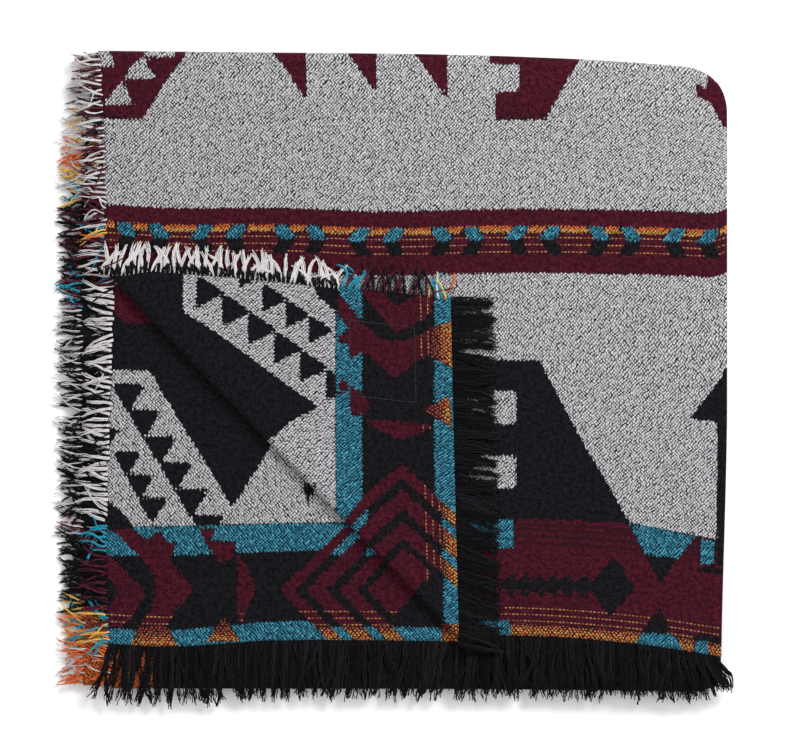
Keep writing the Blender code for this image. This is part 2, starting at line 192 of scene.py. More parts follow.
def turned_corner(across, along, off, turned):
    """The first layer's corner folded back; turned says which side a yarn keeps to."""
    towards = CORNER_TOWARDS
    past = (across - CORNER_ALONG_END) * towards[0] + along * towards[1]
    if turned is False or (turned is None and past <= 0.0):
        return across, along, off
    foot = (across - past * towards[0], along - past * towards[1])
    if turned is None and past < CORNER_BAND:
        turn = past / CORNER_ROLL
        out = (CORNER_ROLL - off) * math.sin(turn)
        height = CORNER_ROLL - (CORNER_ROLL - off) * math.cos(turn)
        return foot[0] + out * towards[0], foot[1] + out * towards[1], height
    back = past - CORNER_BAND
    settle = (2 * CORNER_ROLL - SHEET - AIR) * smooth(back / CORNER_REACH)
    lifted = CORNER_LIFT * smooth(along / 0.25) * smooth(back / 0.03)
    return (
        foot[0] - back * towards[0] + back * CORNER_PULL[0],
        foot[1] - back * towards[1] + back * CORNER_PULL[1] + lifted,
        2 * CORNER_ROLL - off - settle,
    )


def beside_fold(across, along, off, layer):
    """X, and distance off the middle of the pair, after the fold in half across the width."""
    from_fold = HALF_WIDTH - across
    if layer is None and abs(from_fold) < FOLD_QUARTER:
        turn = (FOLD_QUARTER - from_fold) / FOLD_RADIUS
        reach = FOLD_RADIUS + off
        return RIGHT_MIDDLE + reach * math.sin(turn), reach * math.cos(turn)
    first = from_fold > 0.0 if layer is None else layer == 1
    edge = eased(SIDE_EDGES, 1 if first else 2, along)
    spread = (RIGHT_MIDDLE - edge) / (HALF_WIDTH - FOLD_QUARTER)
    flat = (from_fold if first else -from_fold) - FOLD_QUARTER
    return RIGHT_MIDDLE - flat * spread, (FOLD_RADIUS + off) * (1 if first else -1)


def folded(across, along, off, turned=None, layer=None):
    first = across < HALF_WIDTH if layer is None else layer == 1
    if first:
        across, along, off = turned_corner(across, along, off, turned)
    x, normal_off = beside_fold(across, along, off, layer)
    near = 1.0 - smooth(along / END_DIP_REACH)
    along -= near * eased(END_DIPS, 1 if first else 2, x)
    y, z, normal_y, normal_z = pass_point(along)
    return x, y + normal_off * normal_y, z + normal_off * normal_z


def rounded(x, y, corner_x, corner_y, radius, up):
    share_x = (x - corner_x + radius) / radius
    share_y = (y - corner_y) * up / radius + 1.0
    if share_x <= 0.0 or share_y <= 0.0:
        return x, y
    size = (share_x**ROUND_POWER + share_y**ROUND_POWER) ** (1 / ROUND_POWER)
    ratio = max(share_x, share_y) / size
    return (
        corner_x - radius + share_x * ratio * radius,
        corner_y - up * radius + share_y * ratio * radius * up,
    )


# Soft creases and swells, one by one: both ends, half width, and how much higher, as a share.
CREASES = (
    ((-0.30, 0.12), (0.30, 0.17), 0.030, 0.030),
    ((0.02, 0.30), (0.10, -0.22), 0.022, 0.028),
    ((0.21, 0.29), (0.25, -0.10), 0.018, -0.026),
    ((-0.22, 0.31), (-0.16, 0.12), 0.020, -0.030),
    ((-0.16, -0.08), (0.02, -0.14), 0.016, 0.035),
    ((0.12, -0.24), (0.20, 0.06), 0.015, -0.024),
    ((-0.26, -0.20), (-0.10, -0.26), 0.012, 0.035),
    ((-0.10, 0.04), (0.04, -0.22), 0.014, -0.022),
)


def crease_share(x, y):
    total = 0.0
    for (ax, ay), (bx, by), half, share in CREASES:
        run = (bx - ax, by - ay)
        size = run[0] ** 2 + run[1] ** 2
        t = min(max(((x - ax) * run[0] + (y - ay) * run[1]) / size, 0.0), 1.0)
        gap = math.hypot(x - ax - t * run[0], y - ay - t * run[1])
        if gap < 3 * half:
            total += share * math.exp(-((gap / half) ** 2))
    return total


def uneven(point):
    """The pile as it really lies: corners rounded, edges slumped, thickness a little wavy."""
    x, y, z = point
    x, y = rounded(x, y, RIGHT, TOP, TOP_ROUND, 1)
    x, y = rounded(x, y, RIGHT, BOTTOM, BOTTOM_ROUND, -1)
    x -= DRAWN_IN * smooth(-y / DRAWN_IN_REACH) * max(x / RIGHT, 0.0)
    hangs = SLUMP_AT_BOTTOM + (1.0 - SLUMP_AT_BOTTOM) * smooth((y - BOTTOM) / (NEAR_END - BOTTOM))
    y -= eased(SLUMP, 1, x) * hangs
    wave = sum(size * math.sin(a * x + b * y + shift) for size, a, b, shift in WAVES)
    z *= 1.0 + wave + crease_share(x, y)
    return x + PICTURE_MIDDLE[0], y + PICTURE_MIDDLE[1], z


# Columns and rows that the flat cloth is woven in here: where a stretch begins and ends, and how
# many it has. What shows is fine, and what the folding hides is coarse.
COLUMNS = (
    (0.0, HALF_WIDTH - FOLD_QUARTER, 132),
    (HALF_WIDTH - FOLD_QUARTER, HALF_WIDTH + FOLD_QUARTER, 6),
    (HALF_WIDTH + FOLD_QUARTER, HALF_WIDTH + 0.255, 14),
    (HALF_WIDTH + 0.255, WIDTH, 76),
)
ROWS = (
    (0.0, 0.125, 32),
    (0.125, 0.366, 50),
    (0.366, 0.434, 18),
    (0.434, 0.510, 12),
    (0.510, FIRST_DONE, 15),
    (FIRST_DONE, SECOND_STARTS, 12),
    (SECOND_STARTS, SECOND_DONE - 0.06, 16),
    (SECOND_DONE - 0.06, SECOND_DONE, 6),
    (SECOND_DONE, THIRD_STARTS, 10),
    (THIRD_STARTS, LENGTH, 15),
)
CORNER_STEPS = 8


def cut_lines(stretches):
    lines = []
    for start, end, count in stretches:
        lines += [start + (end - start) * i / count for i in range(count)]
    return lines + [stretches[-1][1]]


across_lines = cut_lines(COLUMNS)
along_lines = cut_lines(ROWS)
bpy.ops.object.select_all(action="DESELECT")
bpy.ops.mesh.primitive_grid_add(
    x_subdivisions=len(across_lines) - 1, y_subdivisions=len(along_lines) - 1, size=1.0
)
throw = bpy.context.object
throw.name = "throw_woven_cloth"
for vertex in throw.data.vertices:
    column = round((vertex.co.x + 0.5) * (len(across_lines) - 1))
    row = round((vertex.co.y + 0.5) * (len(along_lines) - 1))
    vertex.co = (across_lines[column], along_lines[row], -SHEET / 2)
bpy.ops.object.mode_set(mode="EDIT")
for i in range(CORNER_STEPS + 1):
    past = CORNER_BAND * i / CORNER_STEPS
    bpy.ops.mesh.select_all(action="SELECT")
    bpy.ops.mesh.bisect(
        plane_co=(CORNER_ALONG_END + past * CORNER_TOWARDS[0], past * CORNER_TOWARDS[1], 0.0),
        plane_no=(*CORNER_TOWARDS, 0.0),
        threshold=0.00002,
    )
bpy.ops.mesh.select_all(action="SELECT")
bpy.ops.mesh.extrude_region_move(TRANSFORM_OT_translate={"value": (0.0, 0.0, SHEET)})


def close_mesh():
    """Turns all normals outwards and leaves edit mode."""
    bpy.ops.mesh.select_all(action="SELECT")
    bpy.ops.mesh.normals_make_consistent(inside=False)
    bpy.ops.object.mode_set(mode="OBJECT")


close_mesh()

# The pattern, alike on both halves. The corners of its fields were read off the photograph, at
# one millimetre to a pixel, and on_cloth turns them into distances from the fold across the
# width and from the near end.
# How far the stripe wanders, by distance from the fold, and how the pattern is drawn out on the
# turned corner: distance from the near end as it lies, and as it is charted.
STRIPE_DRIFT = (
    (0.000, -0.0185), (0.008, -0.0148), (0.018, -0.0120),
    (0.067, -0.0100), (0.127, -0.0070), (0.187, -0.0050),
    (0.247, -0.0025), (0.307, 0.0005), (0.367, 0.0012),
    (0.427, -0.0010), (0.487, -0.0012), (0.547, 0.0000),
    (0.622, -0.0035),
)
CORNER_DRIFT = (
    (0.000, 0.0000), (0.0166, 0.0145), (0.0930, 0.0837),
    (0.1221, 0.1125), (0.2906, 0.2749), (0.4000, 0.3850),
)
FAR = 0.02
YARNS = ("black", "burgundy", "blue", "grey", "gold")
flat_places = [tuple(vertex.co) for vertex in throw.data.vertices]
flat = np.array(flat_places)
drawn = flat.copy()
is_face = flat[:, 2] > 0.0
WANDER_SETS_IN, WANDER_FADES = (0.259, 0.09), (0.469, 0.07)
for i, (u, v, _) in enumerate(flat_places):
    if u < HALF_WIDTH and 0.25 < v < 0.55:
        share = smooth((v - WANDER_SETS_IN[0]) / WANDER_SETS_IN[1])
        share *= 1.0 - smooth((v - WANDER_FADES[0]) / WANDER_FADES[1])
        drawn[i, 1] += eased(STRIPE_DRIFT, 1, HALF_WIDTH - u) * share
    past = (u - CORNER_ALONG_END) * CORNER_TOWARDS[0] + v * CORNER_TOWARDS[1]
    if past > CORNER_BAND / 2:
        drawn[i, 1] = eased(CORNER_DRIFT, 1, v)
from_fold = np.abs(drawn[:, 0] - HALF_WIDTH)
from_end = np.minimum(drawn[:, 1], LENGTH - drawn[:, 1])
chart = np.full((len(flat_places), len(YARNS)), -FAR)
chart[:, 3] = FAR
MIDDLE_COLUMN, MIDDLE_ROW, TO_A_METRE = 397, 376.5, 1000


def on_cloth(x, y, side):
    """A place of the picture, as distances from the fold and from the near end."""
    raw_x = (x - MIDDLE_COLUMN) / TO_A_METRE
    raw_y = (MIDDLE_ROW - y) / TO_A_METRE + eased(SLUMP, 1, raw_x)
    raw_x /= 1.0 - DRAWN_IN * smooth(-raw_y / DRAWN_IN_REACH) / RIGHT
    column = 1 if side == "face" else 2
    along = raw_y - NEAR_END
    along += (1.0 - smooth(along / END_DIP_REACH)) * eased(END_DIPS, column, raw_x)
    edge = eased(SIDE_EDGES, column, along)
    spread = (RIGHT_MIDDLE - edge) / (HALF_WIDTH - FOLD_QUARTER)
    return (RIGHT_MIDDLE - raw_x) / spread + FOLD_QUARTER, along


STRIPE_STARTS = 209
STRIPE_ALONG = 0.430


def on_stripe(x, y, side):
    """The same for the stripe, which runs straight along one row of the cloth."""
    return on_cloth(x, STRIPE_STARTS, side)[0], STRIPE_ALONG - (y - STRIPE_STARTS) / TO_A_METRE


def inside(outline, places):
    """How far inside an outline each place lies, negative outside it."""
    gap = np.full(len(places), 1e9)
    within = np.zeros(len(places), dtype=bool)
    for (ax, ay), (bx, by) in zip(outline, outline[1:] + outline[:1]):
        dx, dy = places[:, 0] - ax, places[:, 1] - ay
        ex, ey = bx - ax, by - ay
        t = np.clip((dx * ex + dy * ey) / (ex * ex + ey * ey), 0.0, 1.0)
        gap = np.minimum(gap, np.hypot(dx - t * ex, dy - t * ey))
        crosses = (ay > places[:, 1]) != (by > places[:, 1])
        if ey != 0.0:
            within ^= crosses & (dx < ex * dy / ey)
    return np.where(within, gap, -gap)


def paint(side, yarn, outline, rows=None, placed=on_cloth):
    """Weaves one yarn into an outline, and takes every other yarn out of it."""
    shape = [placed(x, y, side) for x, y in outline]
    low = np.min(shape, axis=0) - FAR
    high = np.max(shape, axis=0) + FAR
    near = (is_face == (side == "face")) & (from_fold > low[0]) & (from_fold < high[0])
    if side == "under":
        near &= flat[:, 0] > HALF_WIDTH
    near &= (from_end > low[1]) & (from_end < high[1])
    index = np.nonzero(near)[0]
    if not len(index):
        return
    places = np.stack((from_fold[index], from_end[index]), axis=1)
    depth = inside(shape, places)
    if rows:
        depth = np.minimum(depth, np.minimum(places[:, 1] - rows[0], rows[1] - places[:, 1]))
    depth = np.clip(depth, -FAR, FAR)
    for k, name in enumerate(YARNS):
        if name == yarn:
            chart[index, k] = np.maximum(chart[index, k], depth)
        else:
            chart[index, k] = np.minimum(chart[index, k], -depth)


def box(x0, x1, y0, y1):
    return [(x0, y0), (x1, y0), (x1, y1), (x0, y1)]


# Face, grey ground: burgundy motifs at the far side of the top layer.
FACE_TOP = (
    ("burgundy", [(60, 120), (143, 120), (163, 86), (184, 58), (198, 36), (198, 0), (60, 0)]),
    ("grey", [(100, 105), (110, 97), (123, 81), (129, 95), (134, 104.5)]),
    ("grey", [(125, 79.5), (130, 68), (143, 57), (149, 68), (157, 79)]),
    ("grey", [(143.5, 57.5), (153, 42), (168, 42), (177, 57.5)]),
    ("grey", [(60, 66), (117, 67), (108, 52), (99, 46), (60, 46)]),
    ("black", box(60, 141, 115.5, 119)),
    ("burgundy", [(258, 30), (306, 30), (306, 98), (303, 98), (296, 86), (283, 65), (270, 52)]),
    ("burgundy", [(330, 30), (376, 30), (376, 91), (373, 91), (366, 80), (354, 62), (342, 48)]),
    ("burgundy", [(396, 30), (447, 30), (447, 97), (444, 97), (437, 86), (422, 64), (408, 50)]),
    (
        "burgundy",
        [(489, 64), (489, 30), (600, 30), (582, 59), (568, 79), (545, 121), (494.6, 121)]
        + [(495.4, 92), (519, 92), (519.8, 65)],
    ),
    ("black", box(495.5, 545, 115.5, 119.5)),
    (
        "burgundy",
        [(760, 60), (710, 60), (713, 76), (715, 83.5), (693.5, 80), (700, 90), (711, 103)]
        + [(715, 113), (722.6, 126), (728, 136), (760, 136)],
    ),
)
# Face, the stripe that runs right across.
STRIPE = (
    ("burgundy", box(30, 800, STRIPE_STARTS, 273.3)),
    ("gold", box(30, 800, 225.8, 232.6)),
)
CHEVRONS = (19, 53, 97, 129)
CHEVRON_REPEAT, CHEVRON_LEAN, STRIPE_RIGHT = 157.5, 4.5, 727
# Face, the big stepped motif and the border at the near end.
FACE_NEAR = (
    ("black", [
        (400, 361), (539, 361), (550, 380), (568, 415), (587, 449), (608, 485), (630, 523),
        (642, 545), (400, 545),
    ]),
    ("grey", box(468, 515.8, 391.3, 424)),
    ("grey", box(468, 515.3, 455.6, 488)),
    ("black", [
        (760, 350), (725, 372.6), (712.5, 389), (704.4, 398.7), (689, 419), (716, 421.5),
        (716.6, 540), (760, 540),
    ]),
    ("burgundy", [
        (400, 519), (628, 523), (644, 554), (677, 559), (696, 536), (760, 540), (760, 700),
        (400, 700),
    ]),
    ("black", [(716.6, 520), (760, 520), (760, 567), (716.6, 566)]),
    ("blue", box(470, 514, 519, 548.2)),
    ("blue", [(628.8, 523), (695.5, 536), (677.6, 559), (644.3, 554)]),
    ("black", [(645, 556), (677, 559), (660.5, 584)]),
    ("blue", [(699.5, 538), (713.6, 540), (713.4, 565), (699.5, 564)]),
    ("black", [(699.5, 566), (760, 570), (760, 576), (699.5, 571.5)]),
    ("black", [(500, 581), (592, 582), (592, 592), (500, 591)]),
    ("black", [(588, 587), (613.4, 556.5), (635.5, 588), (609.3, 617)]),
    ("gold", [
        (400, 624), (515, 624), (594, 629), (642, 633), (700, 640), (760, 646), (760, 700),
        (400, 700),
    ]),
    ("black", [(658.9, 606), (642, 632), (672, 633.5)]),
    ("blue", [(440, 620), (508, 620), (513, 636), (440, 636)]),
    ("blue", [(642, 632), (673, 634.4), (687, 656), (631, 650)]),
    ("black", [(694.7, 633), (760, 637), (760, 643), (694.7, 640)]),
    ("blue", [(694.7, 640), (708, 641), (709, 662), (693, 660)]),
)
# Reverse, from the near corner up to the turned-back fold.
REVERSE = (
    ("black", [
        (30, 150), (30, 370.5), (149.7, 370.5), (166.5, 399.6), (185.4, 430), (210, 468),
        (232, 506), (235, 506), (262, 462), (300, 395), (460, 150),
    ]),
    ("grey", [(30, 262), (118, 262), (127, 284), (30, 284)]),
    ("black", [(30, 427), (122, 428), (105, 452), (30, 452)]),
    ("black", [
        (306, 480), (317.3, 491.2), (311.7, 496.8), (309.6, 504), (307.5, 503), (306.8, 493),
        (304, 490),
    ]),
)
REVERSE_BORDER = (
    ("blue", box(30, 800, 528, 575)),
    ("black", box(30, 800, 556, 640)),
    ("blue", box(30, 800, 627, 700)),
    ("black", [(90, 484), (107, 500.4), (121.5, 508), (136, 529), (115, 533), (90, 505)]),
    ("burgundy", [
        (115, 529), (136, 528.5), (149.6, 541), (162, 529), (165, 529), (167, 541.5), (181, 543),
        (172.4, 557), (172, 566), (150, 560), (133.6, 548.6),
    ]),
    ("burgundy", [(202, 529), (219, 528.5), (211, 541), (206, 541)]),
    ("burgundy", [(206, 540.5), (240, 541.5), (234, 558), (228, 562), (221, 561), (213.5, 551)]),
    ("burgundy", [
        (242, 556), (246, 560), (258, 590), (246, 618), (242, 628), (240, 600), (240, 575),
    ]),
    ("burgundy", [
        (139, 551), (150, 543), (172, 560), (197, 590), (179, 611.5), (170, 627), (142, 627),
        (155, 611.5), (159.5, 590), (157.7, 575),
    ]),
    ("burgundy", [
        (60, 552), (104, 552), (111, 554), (150, 591), (140, 611), (128, 627), (90, 627),
        (112, 610), (124, 591), (112, 577), (100, 566), (60, 566),
    ]),
    ("gold", [(143, 627), (172, 627), (184, 650), (134, 650)]),
    ("gold", [(227, 616), (233, 627), (243, 641), (210, 641), (220, 627)]),
)


def paint_all(side, table, placed=on_cloth):
    for yarn, outline in table:
        paint(side, yarn, outline, placed=placed)


paint_all("face", FACE_TOP)
paint_all("face", STRIPE, on_stripe)
# Each chevron is a black half and a blue half, which lean opposite ways.
for repeat in range(5):
    for k, from_right in enumerate(CHEVRONS):
        x = STRIPE_RIGHT - from_right - CHEVRON_REPEAT * repeat
        left, right = x - 7.5, x + 8.5
        lean = -CHEVRON_LEAN if k < 2 else CHEVRON_LEAN
        for yarn, top, low, slant in (("black", 236, 254.5, -lean), ("blue", 225.8, 239.6, lean)):
            shape = [(left - slant, top), (right - slant, top), (right + slant, low), (left + slant, low)]
            paint("face", yarn, shape, placed=on_stripe)
paint_all("face", FACE_NEAR)
# The feathers of the arrow, in pairs along its shaft.
FEATHERS, FEATHERS_START, FEATHERS_APART, SHAFT = 7, 586, 14.5, 586.5
for k in range(FEATHERS):
    x = FEATHERS_START - FEATHERS_APART * k
    for side in (-1, 1):
        inner, outer = SHAFT + 4 * side, SHAFT + 13 * side
        paint("face", "black", [(x - 13, inner), (x, outer), (x + 1, inner)])
paint_all("reverse", REVERSE)
paint(
    "under",
    "burgundy",
    [(60, 278), (108, 276), (122, 288), (152, 322), (128, 324), (108, 310), (92, 298), (60, 300)],
)
# Two rows of small triangles: how many, where the first stands, how far to the next, and the
# corners of one from there.
for number, (x, y), (right, down), (start, end, low_start, low_end, low) in (
    (6, (112, 385), (16.1, 26.3), (-1, 34.5, 15.2, 16.8, 27.5)),
    (3, (113.5, 452.5), (13.2, 23.4), (-0.5, 30.5, 13.2, 14.8, 23.5)),
):
    for k in range(number):
        left, top = x + right * k, y + down * k
        upper = [(left + start, top - 1.5), (left + end, top - 1.5)]
        paint("reverse", "black", upper + [(left + low_end, top + low), (left + low_start, top + low)])
# The cloth round the lower of the two long folds, seen between the ends of the warp fringe, and
# the cloth beside the edges of the lower passes, painted black as the shade between the weft
# fringe, except for gold near the lower fold.
LOWER_FOLD, FOLD_HALF, FOLD_GOLD_HALF = 1.205, 0.018, 0.06
from_middle = np.abs(flat[:, 0] - HALF_WIDTH)
from_lower_fold = np.abs(flat[:, 1] - LOWER_FOLD)
on_fold = is_face & (flat[:, 1] > 1.10) & (flat[:, 1] < 1.32)
chart[on_fold] = -FAR
chart[on_fold, 1] = np.clip(from_lower_fold[on_fold] - FOLD_HALF, -FAR, FAR)
painted_shade_beside_edge = (flat[:, 1] > SECOND_STARTS) & (from_middle > HALF_WIDTH - 0.04)
# Painted shade: the cloth within 40 mm of the side edges of the lower passes is painted black.
chart[painted_shade_beside_edge] = -FAR
chart[painted_shade_beside_edge, 4] = np.clip(FOLD_GOLD_HALF - from_lower_fold[painted_shade_beside_edge], -FAR, FAR)
paint_all("reverse", REVERSE_BORDER)
# Nested arrows across the border: where each has its tip, burgundy and black in turn. The rows are
# those of the whole border, of its outer band and of its inner one.
BORDER, OUTER_BAND, INNER_BAND = (-0.02, 0.1125), (-0.02, 0.0135), (0.0845, 0.1125)
for k, tip in enumerate((282, 296, 308, 328, 340, 357)):
    yarn, outer_yarn = ("black", "blue") if k % 2 else ("burgundy", "gold")
    arrow = [(tip, 590), (tip + 80, 510), (500, 510), (500, 670), (tip + 75, 670)]
    paint("reverse", yarn, arrow, BORDER)
    paint("reverse", outer_yarn, arrow, OUTER_BAND)
    if yarn == "black":
        paint("reverse", "blue", arrow, INNER_BAND)
paint("reverse", "burgundy", [(368, 590), (393, 564), (418, 590), (393, 616)])
paint(
    "reverse",
    "burgundy",
    [(383, 510), (500, 510), (500, 560), (418, 588), (393, 562), (360, 533)],
    INNER_BAND,
)
paint("reverse", "gold", box(442, 500, 623, 700))
# The end of the second layer, painted black as shade where the near end's fringe lies over it.
past_middle = flat[:, 0] - HALF_WIDTH
chart[(flat[:, 1] < 0.03) & (past_middle > 0.02) & (past_middle < 0.215)] = -FAR


def note(mesh, name, values):
    """Writes a value, or a colour, at every point of a mesh."""
    kind, field = ("FLOAT", "value") if values.ndim == 1 else ("FLOAT_COLOR", "color")
    layer = mesh.attributes.new(name, kind, "POINT")
    layer.data.foreach_set(field, values.astype(np.float32).ravel())


def lay_out(mesh, name, places):
    """Makes a map of a mesh out of a flat place for every point."""
    layer = mesh.uv_layers.new(name=name)
    corners = np.empty(len(mesh.loops), dtype=np.int32)
    mesh.loops.foreach_get("vertex_index", corners)
    layer.data.foreach_set("uv", places[corners].astype(np.float32).ravel())


note(throw.data, "chart", chart[:, :4] / FAR)
note(throw.data, "chart_gold", chart[:, 4] / FAR)
note(throw.data, "face_side", is_face)
lay_out(throw.data, "weave", drawn[:, :2])
placed = [uneven(folded(u, v, off)) for u, v, off in flat_places]
throw.data.vertices.foreach_set("co", np.array(placed, dtype=np.float32).ravel())
throw.data.update()
throw.data.shade_smooth()


class Wire:
    """An output of a node, to reckon with. Each operation adds a Math node behind it."""

    def __init__(self, tree, socket):
        self.tree, self.socket = tree, socket

    def math(self, operation, *others):
        return join(self.tree, "Math", enumerate((self, *others)), operation=operation)[0]

    def __add__(self, other):
        return self.math("ADD", other)

    def __sub__(self, other):
        return self.math("SUBTRACT", other)

    def __mul__(self, other):
        return self.math("MULTIPLY", other)

    def __truediv__(self, other):
        return self.math("DIVIDE", other)

    def scaled(self, by, plus):
        return self.math("MULTIPLY_ADD", by, plus)

    def into(self, socket):
        self.tree.links.new(self.socket, socket)


class Wires:
    """The outputs of a node, each as a Wire."""

    def __init__(self, tree, node):
        self.tree, self.node = tree, node

    def __getitem__(self, name):
        return Wire(self.tree, self.node.outputs[name])


def join(tree, kind, inputs=(), **settings):
    """Adds a node, sets it up and joins or fills its inputs. Returns its outputs."""
    made = tree.nodes.new("ShaderNode" + kind)
    for name, value in settings.items():
        setattr(made, name, value)
    for name, value in dict(inputs).items():
        if isinstance(value, Wire):
            value.into(made.inputs[name])
        else:
            made.inputs[name].default_value = value
    return Wires(tree, made)


def choose(share, first, second):
    """The value between two, by a share."""
    inputs = {0: share, 2: first, 3: second}
    return join(share.tree, "Mix", inputs, data_type="FLOAT")[0]


def blend(share, first, second):
    """The colour between two, by a share."""
    tree = next(value.tree for value in (share, first, second) if isinstance(value, Wire))
    return join(tree, "Mix", {0: share, 6: first, 7: second}, data_type="RGBA")[2]


def ramp(value, low, high, to_low=0.0, to_high=1.0):
    """A soft step from one value to another, while the given one goes from low to high."""
    inputs = enumerate((value, low, high, to_low, to_high))
    return join(value.tree, "MapRange", inputs, interpolation_type="SMOOTHSTEP")[0]


def noise(tree, place, scale, detail):
    return join(tree, "TexNoise", {"Vector": place, "Scale": scale, "Detail": detail})


def noted(tree, name):
    return join(tree, "Attribute", attribute_name=name)


def rgb(r, g, b):
    return (r, g, b, 1.0)


def new_material(name, settings):
    """A material with its shader set up, its node tree, and the inputs of the shader."""
    made = bpy.data.materials.new(name)
    made.use_nodes = True
    inputs = made.node_tree.nodes["Principled BSDF"].inputs
    for key, value in settings.items():
        inputs[key].default_value = value
    return made, made.node_tree, inputs


# Weave: small slanted spots, in two sets that stand half a step apart in both directions.
SPOTS = {"Apart": 3.6, "Rows apart": 3.75, "Long": 1.50, "Wide": 1.02}
weave = bpy.data.node_groups.new("floating yarns", "ShaderNodeTree")
weave.interface.new_socket("Place", in_out="INPUT", socket_type="NodeSocketVector")
for name, value in SPOTS.items():
    socket = weave.interface.new_socket(name, in_out="INPUT", socket_type="NodeSocketFloat")
    socket.default_value = value
for name in ("Reach", "Chance", "Teeth"):
    weave.interface.new_socket(name, in_out="OUTPUT", socket_type="NodeSocketFloat")
ins = Wires(weave, weave.nodes.new("NodeGroupInput"))
outs = weave.nodes.new("NodeGroupOutput").inputs
drift = join(weave, "SeparateColor", {0: noise(weave, ins["Place"], 90.0, 3.0)["Color"]})
parts = join(weave, "SeparateXYZ", {0: ins["Place"]})
u_mm = parts["X"] * 1000.0
v_mm = parts["Y"] * 1000.0
u_all = drift[0].scaled(5.0, u_mm) / ins["Apart"]
v_all = drift[1].scaled(5.0, v_mm) / ins["Rows apart"]
found = []
for start in (0.0, 0.5):
    u_place, v_place = u_all + start, v_all + start
    cell = {0: u_place.math("FLOOR"), 1: v_place.math("FLOOR"), 2: start}
    cell = join(weave, "CombineXYZ", cell)[0]
    chance = join(weave, "TexWhiteNoise", {"Vector": cell}, noise_dimensions="3D")
    apart = join(weave, "SeparateColor", {0: chance["Color"]})
    local_u = (u_place.math("FRACT") - apart[0].scaled(0.26, 0.37)) * ins["Apart"]
    local_v = (v_place.math("FRACT") - apart[1].scaled(0.20, 0.40)) * ins["Rows apart"]
    patch = noise(weave, cell, 0.23, 1.0)[0]
    turned = apart[2].scaled(0.55, patch).math("GREATER_THAN", 0.95)
    lean = local_u * turned.scaled(-2.0, 1.0)
    along_spot = (lean * 0.45 + local_v * 0.89) / ins["Long"]
    over_spot = (lean * 0.89 - local_v * 0.45) / ins["Wide"]
    found.append((along_spot.math("POWER", 2.0) + over_spot.math("POWER", 2.0), chance[0]))
nearer = found[1][0].math("LESS_THAN", found[0][0])
found[0][0].math("MINIMUM", found[1][0]).into(outs["Reach"])
choose(nearer, found[0][1], found[1][1]).into(outs["Chance"])
(u_mm * 1.532).math("SINE").into(outs["Teeth"])

cloth, tree, surface = new_material(
    "double-faced wool",
    {"Roughness": 0.92, "Sheen Weight": 0.03, "Sheen Roughness": 0.45, "Specular IOR Level": 0.02},
)
uv = join(tree, "UVMap", uv_map="weave")[0]
uv_parts = join(tree, "SeparateXYZ", {0: uv})
sides = noted(tree, "face_side")["Fac"]
charted = noted(tree, "chart")
chart_parts = join(tree, "SeparateColor", {0: charted["Color"]})
gold_chart = noted(tree, "chart_gold")["Fac"]
spots, tight, dashes = (
    join(tree, "Group", {"Place": uv, **dict(zip(SPOTS, sizes))}, node_tree=weave)
    for sizes in ((), (3.4, 3.7, 1.20, 0.78), (3.7, 4.7, 0.95, 1.15))
)
mottle = noise(tree, uv, 45.0, 4.0)[0]
blots = noise(tree, uv, 220.0, 2.0)[0]
fibres = noise(tree, uv, 620.0, 3.0)[0]
ragged = spots["Teeth"].scaled(0.035, spots["Chance"].scaled(0.07, -0.035))
ragged += fibres.scaled(0.10, -0.05)
felted = blots.scaled(0.30, -0.15) + fibres.scaled(0.16, -0.08)


def woven(field, jitter, soft=0.02):
    """Where a yarn shows: its charted field, with an edge as uneven as the jitter."""
    return ramp(field + jitter, -soft, soft)


burgundy_mask = woven(chart_parts[1], felted, 0.045)
blue_mask = woven(chart_parts[2], ragged)
grey_mask = woven(charted["Alpha"], ragged)
gold_mask = woven(gold_chart, ragged)

# Grey: floats of a light yarn, with the dark one showing between them.
light = blend(ramp(fibres, 0.25, 0.75), rgb(0.44, 0.435, 0.45), rgb(0.68, 0.675, 0.69))
light = blend(ramp(spots["Chance"], 0.0, 1.0, 0.22, 0.0), light, rgb(0.15, 0.145, 0.155))
showing = blots.scaled(1.3, spots["Chance"] * 0.30)
between = blend(ramp(showing, 0.62, 1.02), rgb(0.008, 0.0075, 0.010), rgb(0.180, 0.177, 0.186))
grey = blend(ramp(spots["Reach"], 0.08, 1.02, 1.0, 0.0), between, light)

# Blue and gold: floats of bright yarn over the dark one. The gold of the border is looser than
# that of the stripe, and has an orange yarn in it here and there.
BORDER_ENDS = 0.2
float_share = ramp(tight["Reach"], 0.35, 1.95, 1.0, 0.0)
blue = blend(tight["Chance"], rgb(0.026, 0.135, 0.200), rgb(0.080, 0.345, 0.490))
blue = blend(ramp(blots, 0.30, 0.60), rgb(0.014, 0.085, 0.125), blue)
blue = blend(float_share, rgb(0.004, 0.011, 0.016), blue)
fleck = ramp(fibres.scaled(0.60, blots * 0.40), 0.40, 0.62)
black = blend(fleck, rgb(0.0035, 0.0034, 0.0044), rgb(0.0115, 0.0105, 0.0130))
burgundy = blend(fleck, rgb(0.022, 0.0030, 0.0065), rgb(0.072, 0.0100, 0.0190))
burgundy = blend(ramp(mottle, 0.32, 0.62, 0.35, 0.0), burgundy, rgb(0.022, 0.0055, 0.0105))
in_border = uv_parts["Y"].math("LESS_THAN", BORDER_ENDS)
upper = ramp(uv_parts["Y"], 0.4098, 0.4104)
orange_share = upper.math("MAXIMUM", ramp(blots, 0.52, 0.56) * in_border)
warm = blend(orange_share, rgb(0.56, 0.290, 0.070), rgb(0.58, 0.135, 0.028))
warm = blend(dashes["Chance"], blend(0.45, warm, rgb(0.02, 0.01, 0.01)), warm)
gold_reach = choose(in_border, tight["Reach"], dashes["Reach"])
gold_reach = in_border.scaled(ramp(uv_parts["Y"], 0.004, 0.014, 0.2, 1.0), gold_reach)
gold = blend(ramp(gold_reach, 0.55, 1.9, 1.0, 0.0), burgundy, warm)


